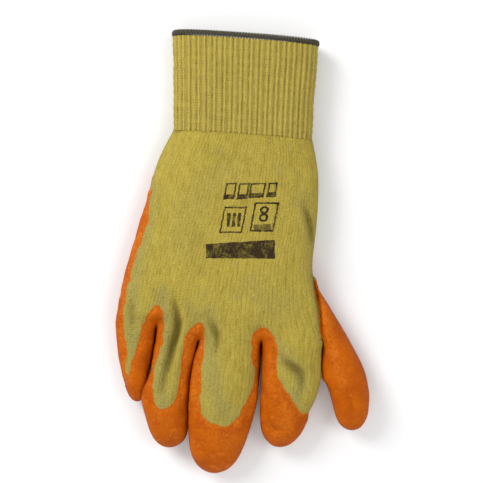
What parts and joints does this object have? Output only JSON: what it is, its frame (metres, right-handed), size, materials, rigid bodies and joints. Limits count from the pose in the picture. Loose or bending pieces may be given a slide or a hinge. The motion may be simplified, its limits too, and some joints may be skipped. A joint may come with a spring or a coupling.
{
  "type": "latex coated grip glove",
  "caption": "Right-hand knitted work glove with a latex-dipped palm, thumb and fingertips, an elastic rib cuff and an overlocked hem, lying palm down.",
  "frame": {"origin": "middle of the palm, on the flat coated face that the glove rests on", "axes": "+Z out of the back of the hand, -Y along the fingers, +Y out of the cuff, +X to the thumb side"},
  "size_m": [0.1376, 0.2357, 0.0227],
  "materials": {
    "yellow_knit": "matte seamless knit",
    "orange_latex": "crinkled satin",
    "rib_knit": "matte elastic rib",
    "hem_thread": "overlock thread"
  },
  "bodies": {
    "root": {"hand_liner": "yellow_knit", "latex_coating": "orange_latex", "rib_cuff": "rib_knit", "overlock_hem": "hem_thread"}
  },
  "joints": []
}
